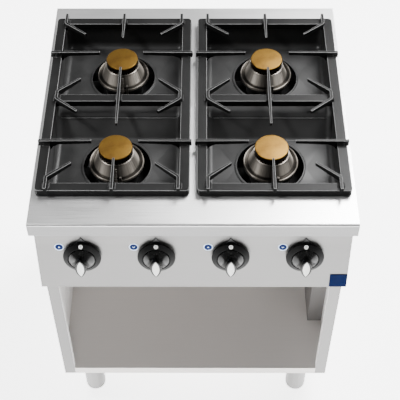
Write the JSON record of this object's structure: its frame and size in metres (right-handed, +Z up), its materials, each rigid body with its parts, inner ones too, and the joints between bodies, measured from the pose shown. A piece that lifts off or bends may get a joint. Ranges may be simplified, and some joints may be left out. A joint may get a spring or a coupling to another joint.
{
  "type": "commercial gas range",
  "caption": "Free-standing commercial gas range: steel worktop with open burners under cast pan supports, a sloping knob panel and an open storage base on adjustable feet.",
  "frame": {"origin": "on the floor at the centre of the whole range's bounding box", "axes": "+Z up, +X to the right as seen by the cook, -Y towards the cook (the control panel faces -Y)"},
  "size_m": [0.7, 0.7146, 0.88],
  "materials": {
    "worktop_steel": "fine brushed, satin",
    "panel_steel": "fine brushed, satin",
    "cabinet_steel": "fine brushed, satin",
    "lining_steel": "mill finish, dull",
    "grate_iron": "black vitreous enamel over cast iron, satin",
    "pan_enamel": "black vitreous enamel, semi-gloss",
    "cap_brass": "turned brass, heat-tinted",
    "head_nickel": "nickel-plated iron casting, radial turning marks",
    "burner_iron": "raw casting",
    "tap_brass": "machined brass",
    "spindle_steel": "turned steel",
    "galvanised_steel": "zinc-coated steel",
    "pilot_steel": "heat-tinted stainless steel",
    "bezel_plastic": "moulded, matt",
    "knob_plastic": "moulded phenolic, glossy",
    "badge_enamel": "glossy, blank",
    "foot_steel": "satin tube"
  },
  "bodies": {
    "range": {"back_panel": "lining_steel", "back_panel_screws": "spindle_steel", "bottom_shelf": "lining_steel", "burner_base_1": "burner_iron", "burner_base_2": "burner_iron", "burner_base_3": "burner_iron", "burner_base_4": "burner_iron", "burner_head_1": "head_nickel", "burner_head_2": "head_nickel", "burner_head_3": "head_nickel", "burner_head_4": "head_nickel", "control_panel": "panel_steel", "drip_pan_left_front": "pan_enamel", "drip_pan_left_rear": "pan_enamel", "drip_pan_right_front": "pan_enamel", "drip_pan_right_rear": "pan_enamel", "foot_sleeves": "foot_steel", "front_cross_member": "galvanised_steel", "gas_inlet_fitting": "tap_brass", "gas_manifold": "galvanised_steel", "gas_riser_pipe": "galvanised_steel", "heat_shield": "lining_steel", "injectors": "tap_brass", "knob_bezels": "bezel_plastic", "panel_badge": "badge_enamel", "pilot_burners": "pilot_steel", "rear_cross_member": "galvanised_steel", "riser_cover": "lining_steel", "side_panel_left": "cabinet_steel", "side_panel_right": "cabinet_steel", "supply_tubes": "galvanised_steel", "thermocouples": "pilot_steel", "valve_body_1": "tap_brass", "valve_body_2": "tap_brass", "valve_body_3": "tap_brass", "valve_body_4": "tap_brass", "worktop": "worktop_steel"},
    "grate_left_body": {"grate_left": "grate_iron"},
    "grate_right_body": {"grate_right": "grate_iron"},
    "cap_1": {"burner_cap_1": "cap_brass"},
    "cap_2": {"burner_cap_2": "cap_brass"},
    "cap_3": {"burner_cap_3": "cap_brass"},
    "cap_4": {"burner_cap_4": "cap_brass"},
    "plug_1": {"valve_plug_1": "tap_brass"},
    "dial_1": {"knob_1": "knob_plastic", "spindle_1": "spindle_steel"},
    "plug_2": {"valve_plug_2": "tap_brass"},
    "dial_2": {"knob_2": "knob_plastic", "spindle_2": "spindle_steel"},
    "plug_3": {"valve_plug_3": "tap_brass"},
    "dial_3": {"knob_3": "knob_plastic", "spindle_3": "spindle_steel"},
    "plug_4": {"valve_plug_4": "tap_brass"},
    "dial_4": {"knob_4": "knob_plastic", "spindle_4": "spindle_steel"},
    "leg_left_front": {"foot_left_front": "foot_steel"},
    "leg_right_front": {"foot_right_front": "foot_steel"},
    "leg_left_rear": {"foot_left_rear": "foot_steel"},
    "leg_right_rear": {"foot_right_rear": "foot_steel"}
  },
  "joints": [
    {"name": "grate_left_lift", "type": "slide", "parent": "range", "child": "grate_left_body", "axis": [0, 0, 1], "range_m": [0, 0.12]},
    {"name": "grate_right_lift", "type": "slide", "parent": "range", "child": "grate_right_body", "axis": [0, 0, 1], "range_m": [0, 0.12]},
    {"name": "cap_1_lift", "type": "slide", "parent": "range", "child": "cap_1", "axis": [0, 0, 1], "range_m": [0, 0.08]},
    {"name": "cap_2_lift", "type": "slide", "parent": "range", "child": "cap_2", "axis": [0, 0, 1], "range_m": [0, 0.08]},
    {"name": "cap_3_lift", "type": "slide", "parent": "range", "child": "cap_3", "axis": [0, 0, 1], "range_m": [0, 0.08]},
    {"name": "cap_4_lift", "type": "slide", "parent": "range", "child": "cap_4", "axis": [0, 0, 1], "range_m": [0, 0.08]},
    {"name": "tap_1_turn", "type": "hinge", "parent": "range", "child": "plug_1", "pos_m": [-0.248, -0.30798, 0.6994], "axis": [0, -0.9877, 0.1564], "range_deg": [0, 210]},
    {"name": "knob_1_push", "type": "slide", "parent": "plug_1", "child": "dial_1", "axis": [0, 0.9877, -0.1564], "range_m": [0, 0.004], "stiffness_N_per_m": 800, "springref_m": -0.003},
    {"name": "tap_2_turn", "type": "hinge", "parent": "range", "child": "plug_2", "pos_m": [-0.0825, -0.30798, 0.6994], "axis": [0, -0.9877, 0.1564], "range_deg": [0, 210]},
    {"name": "knob_2_push", "type": "slide", "parent": "plug_2", "child": "dial_2", "axis": [0, 0.9877, -0.1564], "range_m": [0, 0.004], "stiffness_N_per_m": 800, "springref_m": -0.003},
    {"name": "tap_3_turn", "type": "hinge", "parent": "range", "child": "plug_3", "pos_m": [0.0825, -0.30798, 0.6994], "axis": [0, -0.9877, 0.1564], "range_deg": [0, 210]},
    {"name": "knob_3_push", "type": "slide", "parent": "plug_3", "child": "dial_3", "axis": [0, 0.9877, -0.1564], "range_m": [0, 0.004], "stiffness_N_per_m": 800, "springref_m": -0.003},
    {"name": "tap_4_turn", "type": "hinge", "parent": "range", "child": "plug_4", "pos_m": [0.248, -0.30798, 0.6994], "axis": [0, -0.9877, 0.1564], "range_deg": [0, 210]},
    {"name": "knob_4_push", "type": "slide", "parent": "plug_4", "child": "dial_4", "axis": [0, 0.9877, -0.1564], "range_m": [0, 0.004], "stiffness_N_per_m": 800, "springref_m": -0.003},
    {"name": "foot_left_front_extend", "type": "slide", "parent": "range", "child": "leg_left_front", "axis": [0, 0, -1], "range_m": [0, 0.05]},
    {"name": "foot_right_front_extend", "type": "slide", "parent": "range", "child": "leg_right_front", "axis": [0, 0, -1], "range_m": [0, 0.05]},
    {"name": "foot_left_rear_extend", "type": "slide", "parent": "range", "child": "leg_left_rear", "axis": [0, 0, -1], "range_m": [0, 0.05]},
    {"name": "foot_right_rear_extend", "type": "slide", "parent": "range", "child": "leg_right_rear", "axis": [0, 0, -1], "range_m": [0, 0.05]}
  ]
}
